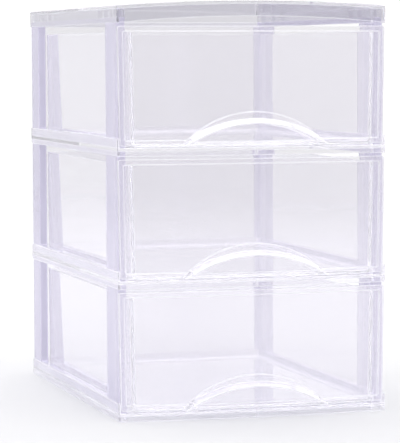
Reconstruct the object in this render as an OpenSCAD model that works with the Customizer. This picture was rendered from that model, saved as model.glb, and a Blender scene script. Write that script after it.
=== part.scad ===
// Clear desktop drawer tower: three stacked tiers, each an open-sided case
// with a sliding tray, closed by a crowned lid. Sizes in millimetres.
// X runs across, the front faces -Y, Z is up, and the tower stands on Z = 0.

/* [Case] */
// Width across the side rims
case_w = 180; // [160:1:220]
// Depth from the front corners to the back face
case_d = 258; // [200:1:320]
// Height of one tier, from seam to seam
tier_h = 84.4; // [70:0.2:110]
// How far the front swells forward between its corners
bow = 5; // [1:0.5:8]
// Radius of the upright corners
corner_r = 3; // [2.6:0.2:6]
// Thickness of plates, rims and skins
wall = 2; // [1.6:0.1:2.4]

/* [Shelf] */
// Height of the rim round the sides and back of a shelf
rim_h = 11.5; // [10:0.5:16]
// Height of the plate's top face above the rim's lower edge
plate_top = 5.5; // [4.5:0.5:7]
// Height of the ribs that guide a drawer and hold the side frames
guide_h = 3; // [2:0.5:5]

/* [Side frame] */
// Width of the front post, seen from the side
front_post = 35.5; // [20:0.5:50]
// Width of the back post, seen from the side
back_post = 25; // [15:0.5:40]
// How far the posts stand back from the rims' outer face
post_set = 0.8; // [0.4:0.1:1]
// Depth of a post's section across the case
post_t = 6.2; // [5:0.1:7]
// Width of the flange that holds the back panel
back_flange = 10; // [6:1:16]
// Distance of the front post's inner rib from the front corners
post_rib = 12.5; // [10:0.5:20]

/* [Lid] */
// Height of the lid's skirt at the corners
lid_h = 11; // [9:0.5:16]
// Rise of the lid's middle over its side edges
crown = 3.2; // [1:0.2:6]
// Rise of the front skirt's lower edge at its middle
lid_arch = 4.2; // [1:0.2:6]

/* [Drawer] */
// Gap between the tray's floor and the shelf below it
slide_gap = 0.3; // [0.2:0.1:1]
// Width of the tray over its top edge
tray_w_top = 164; // [140:1:164]
// Width of the tray at its foot
tray_w_foot = 161; // [130:1:162]
// Depth from the front corners to the tray's back wall
tray_d = 245; // [180:1:250]
// Height of the tray's side walls above the tier's seam
tray_top = 79; // [60:0.5:80]
// Radius along the tray's floor edge
tray_foot_r = 4; // [4:0.5:10]
// Radius of the tray's upright corners at the top
tray_corner_r = 9; // [6:0.5:14]
// Height of the front panel's lower edge above the tier's seam
panel_low = 6.5; // [6:0.1:8]
// Height of the front panel's upper edge above the tier's seam
panel_high = 82.5; // [66:0.1:83]
// How far the panel stands behind the face of the rails
panel_set = 2.1; // [1:0.1:3]
// How far the panel's upper corners are in from the case's sides
panel_side = 0.5; // [0.5:0.1:1.5]
// How much each side of the panel draws in towards its foot
panel_taper = 1.2; // [0:0.1:2]
// Width of the raised border round the front panel
border_w = 3.4; // [2:0.2:6]
// Depth of the panel's field below the border
border_h = 1.2; // [0.4:0.1:1.2]

/* [Finger pull] */
// Width of the hood where it meets the panel's lower edge
hood_w = 96.2; // [70:0.1:120]
// Height of the hood's crest above the panel's lower edge
hood_h = 21.2; // [14:0.1:30]
// How far the hood's lip stands out from the border
hood_out = 5.7; // [3:0.1:7]
// Width of the hood's sloping face, from the border's level to its lip
hood_slope = 2.5; // [1.5:0.1:3]
// Width of the lip's flat edge round the mouth
lip_edge = 0.7; // [0.6:0.1:1.5]
// Width of the mouth under the lip
mouth_w = 83.2; // [60:0.1:100]
// Height of the mouth's crest above the panel's lower edge
mouth_h = 13.7; // [10:0.1:20]
// Height of the pocket's sill above the panel's lower edge
sill_h = 2.3; // [1.6:0.1:4]
// Depth of the pocket, from the lip to its wall
pocket_d = 9.5; // [7:0.5:14]

/* [Hidden] */
TIER = ["bottom", "middle", "top"];

$fn = 180;              // sides of the finger pull's arcs
eps = 0.01;
far = 400;              // longer than any piece, for cutting
over = 1;               // how far a cut runs past the face that it opens
arc_steps = 24;         // straight steps along the bowed front
corner_steps = 8;       // straight steps round an upright corner

case_tint = [0.84, 0.84, 0.93, 0.55];
drawer_tint = [0.93, 0.94, 0.98, 0.35];

half_w = case_w / 2;
lip_set = panel_set - hood_out;          // the hood's lip, behind the rails' face
total_d = case_d + bow - lip_set;
front_y = bow - lip_set - total_d / 2;   // the front corners
back_y = front_y + case_d;

bow_r = arc_radius(case_w, bow);
bow_cy = front_y - bow + bow_r;

clear = 0.4;                             // running gap round the front panel
skin_x = half_w - post_set - wall;       // inner face of a post's skin
post_x = half_w - post_t;                // inner edge of a post's flanges
rail_x = half_w - 5.8;                   // inner face of the frame's hidden rails
rail_relief = 1.6;                       // wall left where a rail is cored
guide_t = 1.5;
guide_start = 4;                         // the guides begin this far behind the stop
back_rib_half = 60;
under = plate_top - wall;                // room under a shelf's plate
panel_depth = 3.4;                       // from the border's face to its back edge
panel_half = half_w - panel_side;
panel_tall = panel_high - panel_low;
panel_r = 1.5;                           // corner radii of the panel and its field
field_r = 1;
field_in = panel_set + border_h;         // the field's face, behind the rails' face
stop_y = front_y + panel_set + panel_depth + clear;  // flanges that stop a drawer
nook_x = panel_half - panel_taper * (panel_high - rim_h) / panel_tall + clear;
rim_end = 1.2;                           // a rim's ends beside the panel, from the front
slot_in = 2 * wall;                      // the back panel's inner face, from the back
slot_gap = 0.2;                          // the back panel's play in its slots
arc_reach = 30;                          // the finger pull's arcs reach this far
pocket_r = arc_radius(mouth_w, mouth_h - sill_h);
pocket_foot = 0.7;                       // the pocket's sill is thinned from below
tick_w = 1.2;
tick_out = 0.3;
lid_ribs = [post_rib, 38, 55, 200, 222, 246];  // short ribs in the lid's sides

// Radius of the arc of a given width and height over its chord
function arc_radius(w, h) = (w * w / 4 + h * h) / (2 * h);

// Points on the bowed front. inset moves the arc back into the case. Every arc
// has its points at the same places across the width, so that faces line up.
function bow_y(x, inset) = bow_cy - sqrt(pow(bow_r - inset, 2) - x * x);
function bow_arc(inset) = [
    for (i = [0 : arc_steps]) let (x = half_w * (2 * i / arc_steps - 1)) [x, bow_y(x, inset)]
];
function reversed(list) = [for (i = [len(list) - 1 : -1 : 0]) list[i]];
function mirrored(list) = [for (p = reversed(list)) [-p[0], p[1]]];
function corner(cx, cy, r, from, to) = [
    for (i = [0 : corner_steps]) let (a = from + (to - from) * i / corner_steps)
        [cx + r * cos(a), cy + r * sin(a)]
];

// The case seen from above, with every face moved in by inset
function right_side(inset) = let (
    cx = half_w - corner_r,
    cy = bow_cy - sqrt(pow(bow_r - corner_r, 2) - cx * cx),
    r = corner_r - inset
) concat(
    corner(cx, cy, r, atan2(cy - bow_cy, cx), 0),
    corner(cx, back_y - corner_r, r, 0, 90)
);
function case_outline(inset) = concat(
    [for (p = bow_arc(inset)) if (abs(p[0]) < half_w - corner_r) p],
    right_side(inset),
    mirrored(right_side(inset))
);

// The front panel's outline, wider at its top, moved in by inset
function panel_outline(z, inset, r) = let (
    low = z + panel_low + inset,
    high = z + panel_high - inset,
    lean = atan(panel_taper / panel_tall),
    foot = panel_half - panel_taper + inset * tan(lean) - (r + inset) / cos(lean),
    side = concat(
        corner(foot + r * tan(lean), low + r, r, -90, -lean),
        corner(foot + (high - r - low) * tan(lean), high - r, r, -lean, 90)
    )
) concat(side, mirrored(side));

// A plate or plug of the case's outline
module case_slab(inset, low, high) {
    translate([0, 0, low]) linear_extrude(high - low) polygon(case_outline(inset));
}

// A slab that follows the bow between two insets
module bowed_slab(half, near, back, low, high) {
    intersection() {
        translate([0, 0, low]) linear_extrude(high - low)
            polygon(concat(bow_arc(near), reversed(bow_arc(back))));
        block([-half, -far, low], [half, far, high]);
    }
}

// Everything behind the bow, for trimming the tray
module behind_bow(inset, low, high) {
    translate([0, 0, low]) linear_extrude(high - low)
        polygon(concat(bow_arc(inset), [[half_w, far], [-half_w, far]]));
}

// A block given by its low and high corners
module block(low, high) {
    translate(low) cube(high - low);
}

// The outline in XZ, run through the whole depth
module through_y(points) {
    translate([0, far, 0]) rotate([90, 0, 0]) linear_extrude(2 * far) polygon(points);
}

module both_sides() {
    children();
    mirror([1, 0, 0]) children();
}

// Raised line at the middle of a front rail
module tick(low, high) {
    y = bow_y(0, 0);
    block([-tick_w / 2, y - tick_out, low], [tick_w / 2, y + wall / 2, high]);
}

// Shelf: plate with a rim round it, a low rail in front, and channels for the
// side frames above and below the plate
module shelf(z) {
    color(case_tint) {
        difference() {
            case_slab(0, z, z + rim_h);
            case_slab(wall, z + plate_top, z + far);
            case_slab(wall, z - over, z + under);
            block([-nook_x, -far, z + plate_top], [nook_x, stop_y, z + far]);
            block([-far, -far, z + plate_top], [far, front_y + rim_end, z + far]);
        }
        tick(z, z + plate_top - 0.5);
        both_sides() side_guides(z);
        block([-back_rib_half, back_y - slot_in - guide_t, z + plate_top - 1],
              [back_rib_half, back_y - slot_in, z + plate_top + guide_h]);
    }
}

module side_guides(z) {
    start = stop_y + guide_start;
    end = back_y - slot_in;
    block([rail_x - guide_t, start, z + plate_top - 1], [rail_x, end, z + plate_top + guide_h]);
    block([rail_x - guide_t, start, z], [rail_x, end, z + under + 1]);
}

// Side frame, right hand: two posts of channel section, joined by a rail that
// stands inside the shelf's rim and one that reaches into the rim above
module side_frame(z) {
    foot = z + plate_top;
    sill = z + rim_h;
    top = z + tier_h;
    head = top + under;
    color(case_tint) difference() {
        union() {
            intersection() {
                case_slab(wall, foot, head);
                block([post_x, stop_y, foot], [half_w, back_y, head]);
            }
            intersection() {
                case_slab(post_set, sill, top);
                block([post_x, stop_y, sill], [half_w, back_y, top]);
            }
            block([half_w - back_flange, back_y - wall, sill], [skin_x, back_y - post_set, top]);
        }
        // window
        block([0, front_y + front_post, sill], [far, back_y - back_post, top]);
        // slot for the back panel
        block([0, back_y - slot_in, foot - over], [skin_x, back_y - wall, head + over]);
        // the posts' inner sides, open towards the drawer
        block([0, stop_y + wall, sill], [skin_x, front_y + post_rib, top]);
        block([0, front_y + post_rib + guide_t, sill], [skin_x, front_y + front_post - wall, top]);
        block([0, back_y - back_post + wall, sill], [skin_x, back_y - slot_in - wall, top]);
        // relief behind the rim, and the rails' inner face
        block([rail_x + rail_relief, stop_y + wall, foot - over],
              [far, back_y - slot_in - wall, sill - wall]);
        block([0, stop_y + wall, foot - over], [rail_x, back_y - slot_in - wall, sill + eps]);
        block([0, stop_y + wall, top - eps], [rail_x, back_y - slot_in - wall, head + over]);
    }
}

// Back panel: a clear plate held in the slots of two side frames
module back_panel(z) {
    color(case_tint)
        block([slot_gap - skin_x, back_y - slot_in, z + plate_top],
              [skin_x - slot_gap, back_y - wall, z + tier_h + under]);
}

// A surface that rises over the side edges, which are at height z, filled down
// by depth
function crown_points(z, rise, depth) = let (
    r = arc_radius(case_w, rise)
) concat(
    [for (i = [0 : arc_steps]) let (x = half_w * (1 - 2 * i / arc_steps))
        [x, z + rise - r + sqrt(r * r - x * x)]],
    [[-half_w, z - depth], [half_w, z - depth]]
);

// Lid: crowned plate with a skirt whose front edge is arched, and short ribs
// inside its long sides
module lid(z) {
    top = z + lid_h;
    seat = z + under;
    color(case_tint) {
        difference() {
            intersection() {
                case_slab(0, z, top + crown + over);
                through_y(crown_points(top, crown, far));
            }
            intersection() {
                case_slab(wall, z - over, top + crown);
                through_y(crown_points(top - wall, crown, far));
            }
            intersection() {
                through_y(crown_points(z, lid_arch, over));
                block([wall - half_w, -far, z - over], [half_w - wall, front_y + wall, top]);
            }
        }
        intersection() {
            tick(z + lid_arch, top + crown);
            through_y(crown_points(top - 1, crown, far));
        }
        both_sides() {
            block([rail_x - guide_t, stop_y + guide_start, z],
                  [rail_x, back_y - slot_in, top - 1]);
            for (y = lid_ribs)
                block([rail_x - eps, front_y + y, seat],
                      [half_w - 1, front_y + y + guide_t, top - 1]);
        }
    }
}

// One side of the tray's section: a wall that leans out by draft over its
// height, rounded into the floor. The wall meets the floor's plane at foot.
function leaning_side(foot, low, high, draft, inset) = let (
    lean = atan(draft / (high - low)),
    r = tray_foot_r,
    cx = foot - r * (1 - sin(lean)) / cos(lean)
) concat(
    corner(cx, low + r, r - inset, -90, -lean),
    [[foot + draft - inset / cos(lean), high + (inset > 0 ? over : 0)]]
);

// The tray as a full solid. inset shrinks it to the hollow inside.
module tray_solid(z, inset) {
    low = z + plate_top + slide_gap;
    high = z + tray_top;
    back = front_y + tray_d;
    draft = (tray_w_top - tray_w_foot) / 2;
    side = leaning_side(tray_w_foot / 2, low, high, draft, inset);
    rear = leaning_side(back - draft, low, high, draft, inset);
    start = front_y - 2 * bow;
    cx = tray_w_top / 2 - tray_corner_r;
    cy = back - tray_corner_r;
    intersection() {
        through_y(concat(side, mirrored(side)));
        rotate([90, 0, 90]) linear_extrude(2 * far, center = true)
            polygon(concat(rear, [[start, high + over], [start, low + inset]]));
        translate([0, 0, low - over]) linear_extrude(tier_h) polygon(concat(
            [[inset - tray_w_top / 2, start], [tray_w_top / 2 - inset, start]],
            corner(cx, cy, tray_corner_r - inset, 0, 90),
            corner(-cx, cy, tray_corner_r - inset, 90, 180)
        ));
    }
}

module tray(z) {
    difference() {
        intersection() {
            tray_solid(z, 0);
            behind_bow(field_in + wall / 2, z, z + tier_h);
        }
        intersection() {
            tray_solid(z, wall);
            behind_bow(field_in + wall, z, z + tier_h);
        }
    }
}

// Front panel: a bowed plate with a border raised on both faces
module panel(z) {
    low = z + panel_low;
    high = z + panel_high;
    difference() {
        intersection() {
            bowed_slab(panel_half, panel_set, panel_set + panel_depth, low, high);
            through_y(panel_outline(z, 0, panel_r));
        }
        intersection() {
            bowed_slab(panel_half, panel_set - over, field_in, low, high);
            through_y(panel_outline(z, border_w, field_r));
        }
        intersection() {
            bowed_slab(panel_half, field_in + wall, panel_set + 2 * panel_depth, low, high);
            through_y(panel_outline(z, border_w, field_r));
        }
    }
}

// A disc in XZ with its crest at the given height, as a rod along Y through the
// front of the case. All the finger pull's arcs are cut from these.
module arc_rod(radius, crest) {
    translate([0, front_y + arc_reach, crest - radius]) rotate([90, 0, 0])
        cylinder(r = radius, h = 2 * arc_reach);
}

// Finger pull: a flat arch at the border's level, and on it a lip that slopes out
// round the mouth of a pocket
module arch(low) {
    intersection() {
        arc_rod(arc_radius(hood_w, hood_h), low + hood_h);
        bowed_slab(hood_w / 2, panel_set, field_in + wall / 2, low, low + 2 * hood_h);
    }
}

module lip(low) {
    out = hood_out + wall;                      // from the lip to behind the field
    root_r = pocket_r + lip_edge + hood_slope * out / hood_out;
    intersection() {
        translate([0, bow_y(0, lip_set) + out, low + mouth_h - pocket_r]) rotate([90, 0, 0])
            cylinder(r1 = root_r, r2 = pocket_r + lip_edge, h = out);
        arc_rod(arc_radius(hood_w, hood_h), low + hood_h);
        bowed_slab(hood_w / 2, lip_set, panel_set + wall, low, low + 2 * hood_h);
    }
}

module pocket_shell(low) {
    intersection() {
        arc_rod(pocket_r + wall, low + mouth_h + wall);
        bowed_slab(mouth_w / 2 + wall, field_in, lip_set + pocket_d + wall,
                   low + pocket_foot, low + 2 * mouth_h);
    }
}

module pocket_hollow(low) {
    intersection() {
        arc_rod(pocket_r, low + mouth_h);
        bowed_slab(mouth_w / 2 + wall, lip_set - over, lip_set + pocket_d,
                   low + sill_h, low + 2 * mouth_h);
    }
}

// Drawer: tray, front panel and finger pull in one moulding
module drawer(z) {
    low = z + panel_low;
    color(drawer_tint) difference() {
        union() {
            tray(z);
            panel(z);
            arch(low);
            lip(low);
            pocket_shell(low);
        }
        pocket_hollow(low);
        bowed_slab(mouth_w / 2 - over, lip_set - over, field_in + pocket_foot,
                   low - over, low + pocket_foot);
    }
}

shelf(0);  // base_shelf
shelf(tier_h);  // lower_shelf
shelf(2 * tier_h);  // upper_shelf
lid(3 * tier_h);
for (t = [0 : 2]) {
    z = t * tier_h;
    mirror([1, 0, 0]) side_frame(z);
    side_frame(z);
    back_panel(z);
    drawer(z);
}
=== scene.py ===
"""Clear desktop drawer tower, dressed for a studio picture.

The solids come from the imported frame. This file rounds their moulded edges,
gives each piece its plastic, and sets up a pale floor, soft light and a camera.
Lengths are in metres. X runs across, the front faces -Y, Z is up.
"""

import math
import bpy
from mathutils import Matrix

bl_info = {
    "name": "Clear Drawer Tower",
    "version": (1, 0, 0),
    "blender": (4, 5, 0),
    "location": "View3D > Sidebar > Drawer Tower",
    "description": "Finishes and studio for a clear three-drawer desktop tower",
    "category": "Object",
}

import bpy
from bpy.props import FloatProperty, FloatVectorProperty, PointerProperty, StringProperty
from mathutils import Matrix, Vector

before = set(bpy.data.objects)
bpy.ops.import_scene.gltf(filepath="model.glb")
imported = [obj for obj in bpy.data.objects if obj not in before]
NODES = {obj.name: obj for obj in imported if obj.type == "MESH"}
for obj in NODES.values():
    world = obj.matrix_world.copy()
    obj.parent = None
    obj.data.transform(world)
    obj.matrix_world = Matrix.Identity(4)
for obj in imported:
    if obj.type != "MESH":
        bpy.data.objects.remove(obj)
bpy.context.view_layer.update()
TIERS = ("bottom", "middle", "top")
SHELVES = ("base_shelf", "lower_shelf", "upper_shelf")
MM = 0.001
WHITE = "#FFFFFF"

# How the pieces' meshes are finished.
WELD = 0.002 * MM               # points closer than this are one point
FLAT = math.radians(0.15)       # faces within this angle are one flat face
FIT_GAP = 0.02 * MM             # air between pieces that touch
SHARP = math.radians(30)        # edges sharper than this are rounded
SHADE_WEIGHT = 60               # how much large faces lead the shading

# How the plastics look.
POLYPROPYLENE_IOR = 1.49
POLYSTYRENE_IOR = 1.57
CASE_RIPPLE = 60 * MM           # length of the flow ripples in the case
DRAWER_RIPPLE = 80 * MM         # and in the drawers
RIPPLE_DEPTH = 0.03 * MM
RIPPLE_ROUGHNESS = 0.4
HAZE = 9 * MM                   # size of the patches that are duller or glossier
HAZE_SPREAD = (0.7, 1.4)        # their roughness, as shares of the plastic's own
SOFT_EDGE = 0.45 * MM           # rounding that the shading gives each edge
SOFT_EDGE_SAMPLES = 6
PAINTED_EDGE_HIGHLIGHT = 1.2 * MM            # how far in from an edge the painted highlight reaches
PAINTED_EDGE_HIGHLIGHT_SAMPLES = 4
EDGE_TURN = (0.85, 0.995)       # cosine of the turn at the edge, and away from it
HIGHLIGHT_EDGE_CLEAR = 0.4                # how clear the plastic still is at the edge, under the painted highlight
PASSING = "#FAFAFB"             # what one wall leaves of the light that lights others

# The studio.
PAPER_REACH = 4.0               # radius of the paper floor
PAPER_CORNERS = 64
PAPER_FADE = (0.6, 3.0)         # where the paper starts and ends to melt away
PAPER_FIBRE = 2 * MM            # drawn coarser than real fibre, so that it shows
PAPER_RELIEF = 0.02 * MM
BACKDROP = 1.05                 # the backdrop's white
HORIZON = (0.02, 0.5)           # height in the sky of the low and the high light
ROOM_SIDE = (-0.2, -0.9)        # where, towards the front, the room gets darker
SCREEN_SIDE = (-0.5, -0.95)     # where, towards the left, the screen's colour sets in
SOFT_BOX_SIZE = (1.4, 1.0)
SOFT_BOX_PLACE = Vector((-0.3, 1.5, 1.6))
SOFT_BOX_AIM = Vector((0, 0, 0.1))
FILM_WIDTH = 36                 # mm
CLEAR_BOUNCES = 128             # light runs a long way inside clear walls
MATT_BOUNCES = 8


def linear(hex_colour):
    """An sRGB hex colour as a linear RGBA tuple."""
    def channel(v):
        return v / 12.92 if v <= 0.04045 else ((v + 0.055) / 1.055) ** 2.4
    digits = hex_colour.lstrip("#")
    return tuple(channel(int(digits[i:i + 2], 16) / 255) for i in (0, 2, 4)) + (1.0,)


# ---------------------------------------------------------------- settings

class TowerCase(bpy.types.PropertyGroup):
    """Finish of the shelves, side frames, back panels and lid"""

    tint: StringProperty(
        name="Tint", description="Colour of the case's plastic, as sRGB hex",
        default="#F9F8FB")
    post_tint: StringProperty(
        name="Post tint", description="Colour of the side frames' plastic, as sRGB hex",
        default="#DEDBE8")
    # The lid's tint is greyer than the case's: painted shade.
    lid_shade_tint: StringProperty(
        name="Lid tint", description="Colour of the lid's plastic, as sRGB hex",
        default="#ECEBF0")
    edge: FloatProperty(
        name="Edge radius", description="Rounding of the moulded edges",
        default=0.2 * MM, min=0.0001, max=0.0009, unit="LENGTH", precision=5)


class TowerDrawer(bpy.types.PropertyGroup):
    """Finish of the drawers"""

    tint: StringProperty(
        name="Tint", description="Colour of the drawers' plastic, as sRGB hex",
        default="#FBFAFC")
    edge: FloatProperty(
        name="Edge radius", description="Rounding of the moulded edges",
        default=0.3 * MM, min=0.0001, max=0.0006, unit="LENGTH", precision=5)


class TowerStudio(bpy.types.PropertyGroup):
    """Floor, light and camera"""

    floor_colour: StringProperty(
        name="Floor", description="Colour of the paper floor, as sRGB hex",
        default="#BEBEBE")
    sky_low: FloatProperty(
        name="Light low down", description="Radiance of the studio near the horizon",
        default=0.9, min=0, max=4)
    sky_high: FloatProperty(
        name="Light overhead", description="Radiance of the studio above the tower",
        default=2.0, min=0, max=4)
    room: FloatProperty(
        name="Room", description="Share of the studio's light left in front of the tower",
        default=0.15, min=0, max=1)
    screen: StringProperty(
        name="Screen", description="Colour of the screen on the left, as sRGB hex",
        default="#BBB5DA")
    key_power: FloatProperty(
        name="Key light", description="Power of the soft box",
        default=12, min=0, unit="POWER")
    lens: FloatProperty(
        name="Lens", description="Focal length on a 36 mm frame, long side",
        default=199.45, min=10, max=400, unit="CAMERA")
    camera_place: FloatVectorProperty(
        name="Camera place", description="Where the camera stands",
        default=(-0.47278, -1.62361, 0.23337), subtype="TRANSLATION", unit="LENGTH",
        precision=5)
    camera_yaw: FloatProperty(
        name="Yaw", description="Turn of the camera to the right of +Y",
        default=math.radians(16.2311), subtype="ANGLE")
    camera_pitch: FloatProperty(
        name="Pitch", description="Tilt of the camera below the horizon",
        default=math.radians(3.9035), subtype="ANGLE")
    camera_roll: FloatProperty(
        name="Roll", description="Turn of the camera about its own line of sight",
        default=math.radians(-0.2278), subtype="ANGLE")


# ---------------------------------------------------------------- materials

def node(tree, kind, inputs=None, **settings):
    """Adds a node. Inputs are values, or the (node, output) they are linked from."""
    new = tree.nodes.new(kind)
    for name, value in settings.items():
        setattr(new, name, value)
    for name, value in (inputs or {}).items():
        if isinstance(value, tuple) and isinstance(value[0], bpy.types.Node):
            tree.links.new(value[0].outputs[value[1]], new.inputs[name])
        else:
            new.inputs[name].default_value = value
    return new


def blank_material(name):
    material = bpy.data.materials.new(name)
    material.use_nodes = True
    material.node_tree.nodes.clear()
    return material, material.node_tree


def moulded_plastic(name, tint, ior, clear, gloss, ripple):
    """A clear moulded plastic: glossy, with faint flow ripples from the mould."""
    material, tree = blank_material(name)
    place = node(tree, "ShaderNodeTexCoord")
    flow = node(tree, "ShaderNodeTexNoise",
                {"Vector": (place, "Object"), "Scale": 1 / ripple, "Detail": 1.0,
                 "Roughness": RIPPLE_ROUGHNESS})
    haze = node(tree, "ShaderNodeTexNoise",
                {"Vector": (place, "Object"), "Scale": 1 / HAZE, "Detail": 3.0})
    rough = node(tree, "ShaderNodeMapRange",
                 {"Value": (haze, "Fac"), "From Min": 0.3, "From Max": 0.7,
                  "To Min": gloss * HAZE_SPREAD[0], "To Max": gloss * HAZE_SPREAD[1]})
    soft_edge = node(tree, "ShaderNodeBevel", {"Radius": SOFT_EDGE},
                     samples=SOFT_EDGE_SAMPLES)
    bump = node(tree, "ShaderNodeBump",
                {"Height": (flow, "Fac"), "Strength": 1.0, "Distance": RIPPLE_DEPTH,
                 "Normal": (soft_edge, "Normal")})
    # Painted highlight: near every edge the plastic is made less clear and so milkier,
    # which draws the edges as white lines.
    highlight_bevel = node(tree, "ShaderNodeBevel", {"Radius": PAINTED_EDGE_HIGHLIGHT},
                     samples=PAINTED_EDGE_HIGHLIGHT_SAMPLES)
    face = node(tree, "ShaderNodeNewGeometry")
    turn = node(tree, "ShaderNodeVectorMath",
                {0: (highlight_bevel, "Normal"), 1: (face, "Normal")}, operation="DOT_PRODUCT")
    from_edge = node(tree, "ShaderNodeMath", {0: (turn, "Value")}, operation="ABSOLUTE")
    highlight_clearness = node(tree, "ShaderNodeMapRange",
                     {"Value": (from_edge, "Value"),
                      "From Min": EDGE_TURN[0], "From Max": EDGE_TURN[1],
                      "To Min": HIGHLIGHT_EDGE_CLEAR, "To Max": clear})
    shader = node(tree, "ShaderNodeBsdfPrincipled",
                  {"Base Color": linear(tint), "IOR": ior,
                   "Transmission Weight": (highlight_clearness, "Result"),
                   "Roughness": (rough, "Result"), "Normal": (bump, "Normal")})
    # Light on its way to a matt or milky face passes straight through clear
    # walls, so the inside of the tower is as bright as it is in the studio.
    ray = node(tree, "ShaderNodeLightPath")
    onward = node(tree, "ShaderNodeMath",
                  {0: (ray, "Is Diffuse Ray"), 1: (ray, "Is Shadow Ray")},
                  operation="MAXIMUM")
    through = node(tree, "ShaderNodeBsdfTransparent", {"Color": linear(PASSING)})
    mix = node(tree, "ShaderNodeMixShader",
               {0: (onward, "Value"), 1: (shader, "BSDF"), 2: (through, "BSDF")})
    node(tree, "ShaderNodeOutputMaterial", {"Surface": (mix, "Shader")})
    return material


def case_plastic():
    # Clear-grade polypropylene, injection moulded: glossy, and faintly lavender
    # where the light passes through much of it.
    return moulded_plastic(
        "Clear polypropylene", bpy.context.scene.tower_case.tint,
        POLYPROPYLENE_IOR, clear=0.9, gloss=0.05, ripple=CASE_RIPPLE)


def shaded_lid_plastic():
    # The same polypropylene in the lid, greyer than the case: painted shade that darkens
    # the lid.
    return moulded_plastic(
        "Clear polypropylene, lid, painted shade", bpy.context.scene.tower_case.lid_shade_tint,
        POLYPROPYLENE_IOR, clear=0.95, gloss=0.05, ripple=CASE_RIPPLE)


def frame_plastic():
    # The same polypropylene in the side frames, tinted darker and more lavender than the
    # case.
    return moulded_plastic(
        "Clear polypropylene, thick", bpy.context.scene.tower_case.post_tint,
        POLYPROPYLENE_IOR, clear=0.7, gloss=0.06, ripple=CASE_RIPPLE)


def drawer_plastic():
    # General-purpose polystyrene, injection moulded: crystal clear and glossy.
    return moulded_plastic(
        "Crystal polystyrene", bpy.context.scene.tower_drawer.tint,
        POLYSTYRENE_IOR, clear=0.87, gloss=0.03, ripple=DRAWER_RIPPLE)


def floor_paper(colour):
    """Seamless studio paper, matt, that melts into the studio's light far out."""
    # Uncoated paper, pressed: no shine, and a fine fibre.
    material, tree = blank_material("Studio paper")
    place = node(tree, "ShaderNodeTexCoord")
    reach = node(tree, "ShaderNodeVectorMath", {0: (place, "Object")}, operation="LENGTH")
    fade = node(tree, "ShaderNodeMapRange",
                {"Value": (reach, "Value"),
                 "From Min": PAPER_FADE[0], "From Max": PAPER_FADE[1]},
                interpolation_type="SMOOTHSTEP")
    fibre = node(tree, "ShaderNodeTexNoise",
                 {"Vector": (place, "Object"), "Scale": 1 / PAPER_FIBRE, "Detail": 2.0})
    bump = node(tree, "ShaderNodeBump",
                {"Height": (fibre, "Fac"), "Strength": 0.2, "Distance": PAPER_RELIEF})
    paper = node(tree, "ShaderNodeBsdfPrincipled",
                 {"Base Color": linear(colour), "Roughness": 0.9, "Specular IOR Level": 0.1,
                  "Normal": (bump, "Normal")})
    gone = node(tree, "ShaderNodeBsdfTransparent")
    mix = node(tree, "ShaderNodeMixShader",
               {0: (fade, "Result"), 1: (paper, "BSDF"), 2: (gone, "BSDF")})
    node(tree, "ShaderNodeOutputMaterial", {"Surface": (mix, "Shader")})
    return material


# ---------------------------------------------------------------- pieces

def round_edges(obj, radius, clamp):
    """Closes the shaded mesh, joins its flat faces and rounds its edges."""
    weld = obj.modifiers.new("Weld", "WELD")
    weld.merge_threshold = WELD
    flat = obj.modifiers.new("Flat faces", "DECIMATE")
    flat.decimate_type = "DISSOLVE"
    flat.angle_limit = FLAT
    # Pieces that touch keep a hair of air between them, so that light leaves
    # one before it enters the next.
    gap = obj.modifiers.new("Fit gap", "DISPLACE")
    gap.mid_level = 0
    gap.strength = -FIT_GAP
    bevel = obj.modifiers.new("Moulded edges", "BEVEL")
    bevel.width = radius
    bevel.segments = 2
    bevel.limit_method = "ANGLE"
    bevel.angle_limit = SHARP
    # The clamp follows the shortest edge of a piece. The lid and the drawers need
    # it, and the shading of their plastic rounds their edges instead.
    bevel.use_clamp_overlap = clamp
    shade = obj.modifiers.new("Shading", "WEIGHTED_NORMAL")
    shade.keep_sharp = False
    shade.weight = SHADE_WEIGHT


def dress(names, material, radius, clamp=False):
    """Gives nodes of the frame their plastic and their rounded edges."""
    for name in names:
        obj = NODES[name]
        for slot in obj.material_slots:
            slot.material = material
        round_edges(obj, radius, clamp)


def case_material():
    """The plastic that the shelves and the back panels share."""
    return bpy.data.materials.get("Clear polypropylene") or case_plastic()


class TOWER_OT_shelves(bpy.types.Operator):
    """Finish the three shelves"""
    bl_idname = "tower.shelves"
    bl_label = "Shelves"

    def execute(self, context):
        dress(SHELVES, case_material(), context.scene.tower_case.edge)
        return {"FINISHED"}


class TOWER_OT_side_frames(bpy.types.Operator):
    """Finish the six side frames"""
    bl_idname = "tower.side_frames"
    bl_label = "Side frames"

    def execute(self, context):
        names = [f"{side}_frame_{tier}" for side in ("left", "right") for tier in TIERS]
        dress(names, frame_plastic(), context.scene.tower_case.edge)
        return {"FINISHED"}


class TOWER_OT_back_panels(bpy.types.Operator):
    """Finish the three back panels"""
    bl_idname = "tower.back_panels"
    bl_label = "Back panels"

    def execute(self, context):
        dress([f"back_panel_{tier}" for tier in TIERS], case_material(),
              context.scene.tower_case.edge)
        return {"FINISHED"}


class TOWER_OT_lid(bpy.types.Operator):
    """Finish the lid"""
    bl_idname = "tower.lid"
    bl_label = "Lid"

    def execute(self, context):
        dress(["lid"], shaded_lid_plastic(), context.scene.tower_case.edge, clamp=True)
        return {"FINISHED"}


class TOWER_OT_drawers(bpy.types.Operator):
    """Finish the three drawers"""
    bl_idname = "tower.drawers"
    bl_label = "Drawers"

    def execute(self, context):
        dress([f"drawer_{tier}" for tier in TIERS], drawer_plastic(),
              context.scene.tower_drawer.edge, clamp=True)
        return {"FINISHED"}


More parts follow.
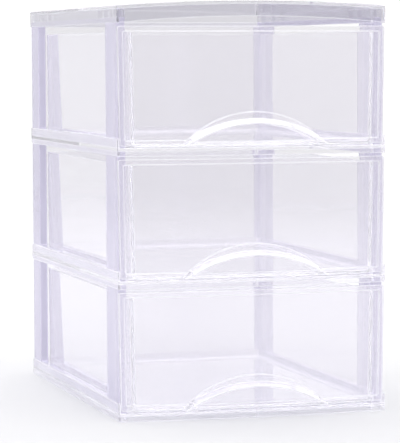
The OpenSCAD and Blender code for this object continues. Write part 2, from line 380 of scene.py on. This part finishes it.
class TOWER_OT_studio(bpy.types.Operator):
    """Build the floor, the light and the camera"""
    bl_idname = "tower.studio"
    bl_label = "Studio"

    def execute(self, context):
        studio = context.scene.tower_studio
        self.floor(context, studio)
        self.sky(context, studio)
        self.lamps(context, studio)
        self.camera(context, studio)
        context.scene.view_settings.view_transform = "Standard"
        cycles = context.scene.cycles
        cycles.max_bounces = CLEAR_BOUNCES
        cycles.transmission_bounces = CLEAR_BOUNCES
        cycles.glossy_bounces = CLEAR_BOUNCES
        cycles.transparent_max_bounces = CLEAR_BOUNCES
        cycles.diffuse_bounces = MATT_BOUNCES
        return {"FINISHED"}

    def floor(self, context, studio):
        mesh = bpy.data.meshes.new("floor")
        turns = [2 * math.pi * i / PAPER_CORNERS for i in range(PAPER_CORNERS)]
        ring = [(PAPER_REACH * math.cos(turn), PAPER_REACH * math.sin(turn), 0)
                for turn in turns]
        mesh.from_pydata(ring, [], [tuple(range(PAPER_CORNERS))])
        floor = bpy.data.objects.new("floor", mesh)
        context.scene.collection.objects.link(floor)
        mesh.materials.append(floor_paper(studio.floor_colour))

    def sky(self, context, studio):
        world = bpy.data.worlds.new("Studio light")
        world.use_nodes = True
        tree = world.node_tree
        tree.nodes.clear()
        place = node(tree, "ShaderNodeTexCoord")
        parts = node(tree, "ShaderNodeSeparateXYZ", {0: (place, "Generated")})
        level = node(tree, "ShaderNodeMapRange",
                     {"Value": (parts, "Z"), "From Min": HORIZON[0], "From Max": HORIZON[1],
                      "To Min": studio.sky_low, "To Max": studio.sky_high},
                     interpolation_type="SMOOTHSTEP")
        # The room in front of the tower is darker: it gives clear edges dark lines.
        front = node(tree, "ShaderNodeMapRange",
                     {"Value": (parts, "Y"),
                      "From Min": ROOM_SIDE[0], "From Max": ROOM_SIDE[1],
                      "To Min": 1.0, "To Max": studio.room},
                     interpolation_type="SMOOTHSTEP")
        both = node(tree, "ShaderNodeMath", {0: (level, "Result"), 1: (front, "Result")},
                    operation="MULTIPLY")
        # A lavender screen stands on the left.
        left = node(tree, "ShaderNodeMapRange",
                    {"Value": (parts, "X"),
                     "From Min": SCREEN_SIDE[0], "From Max": SCREEN_SIDE[1]},
                    interpolation_type="SMOOTHSTEP")
        hue = node(tree, "ShaderNodeMix", {"Factor": (left, "Result")}, data_type="RGBA")
        hue.inputs[6].default_value = linear(WHITE)
        hue.inputs[7].default_value = linear(studio.screen)
        # What the tower mirrors and bends, what lights matt faces, and what shows
        # behind the tower: the backdrop is white paper.
        light = node(tree, "ShaderNodeBackground",
                     {"Color": (hue, 2), "Strength": (both, "Value")})
        soft = node(tree, "ShaderNodeBackground",
                    {"Color": (hue, 2), "Strength": (level, "Result")})
        paper = node(tree, "ShaderNodeBackground",
                     {"Color": linear(WHITE), "Strength": BACKDROP})
        ray = node(tree, "ShaderNodeLightPath")
        lit = node(tree, "ShaderNodeMixShader",
                   {0: (ray, "Is Diffuse Ray"), 1: (light, "Background"),
                    2: (soft, "Background")})
        mix = node(tree, "ShaderNodeMixShader",
                   {0: (ray, "Is Camera Ray"), 1: (lit, "Shader"),
                    2: (paper, "Background")})
        node(tree, "ShaderNodeOutputWorld", {"Surface": (mix, "Shader")})
        context.scene.world = world

    def lamps(self, context, studio):
        lamp = bpy.data.lights.new("soft box", "AREA")
        lamp.shape = "RECTANGLE"
        lamp.size, lamp.size_y = SOFT_BOX_SIZE
        lamp.energy = studio.key_power
        obj = bpy.data.objects.new("soft box", lamp)
        obj.location = SOFT_BOX_PLACE
        aim = SOFT_BOX_AIM - SOFT_BOX_PLACE
        obj.rotation_euler = aim.to_track_quat("-Z", "Y").to_euler()
        # It lights the floor and the milky faces, and isn't mirrored in the clear ones.
        obj.visible_glossy = False
        obj.visible_transmission = False
        context.scene.collection.objects.link(obj)

    def camera(self, context, studio):
        yaw, pitch, roll = studio.camera_yaw, studio.camera_pitch, studio.camera_roll
        ahead = Vector((math.sin(yaw) * math.cos(pitch),
                        math.cos(yaw) * math.cos(pitch), -math.sin(pitch)))
        level = Vector((math.cos(yaw), -math.sin(yaw), 0))
        upright = level.cross(ahead)
        across = level * math.cos(roll) + upright * math.sin(roll)
        up = upright * math.cos(roll) - level * math.sin(roll)
        data = bpy.data.cameras.new("camera")
        data.lens = studio.lens
        data.sensor_width = FILM_WIDTH
        camera = bpy.data.objects.new("camera", data)
        turn = Matrix((across, up, -ahead)).transposed()
        camera.matrix_world = Matrix.Translation(studio.camera_place) @ turn.to_4x4()
        context.scene.collection.objects.link(camera)
        context.scene.camera = camera


# ---------------------------------------------------------------- panel

class TOWER_PT_sidebar(bpy.types.Panel):
    """Steps of the drawer tower, in order"""
    bl_label = "Drawer Tower"
    bl_idname = "TOWER_PT_sidebar"
    bl_space_type = "VIEW_3D"
    bl_region_type = "UI"
    bl_category = "Drawer Tower"

    def draw(self, context):
        for group in ("tower_case", "tower_drawer", "tower_studio"):
            box = self.layout.box()
            settings = getattr(context.scene, group)
            for name in settings.__annotations__:
                box.prop(settings, name)
        for step in STEPS:
            self.layout.operator(step.bl_idname)


GROUPS = {"tower_case": TowerCase, "tower_drawer": TowerDrawer, "tower_studio": TowerStudio}
STEPS = (TOWER_OT_shelves, TOWER_OT_side_frames, TOWER_OT_back_panels, TOWER_OT_lid,
         TOWER_OT_drawers, TOWER_OT_studio)


def register():
    for name, group in GROUPS.items():
        bpy.utils.register_class(group)
        setattr(bpy.types.Scene, name, PointerProperty(type=group))
    for cls in STEPS + (TOWER_PT_sidebar,):
        bpy.utils.register_class(cls)


def unregister():
    for cls in reversed(STEPS + (TOWER_PT_sidebar,)):
        bpy.utils.unregister_class(cls)
    for name, group in GROUPS.items():
        delattr(bpy.types.Scene, name)
        bpy.utils.unregister_class(group)


def main():
    register()
    for step in STEPS:
        family, name = step.bl_idname.split(".")
        getattr(getattr(bpy.ops, family), name)()


if __name__ == "__main__":
    main()
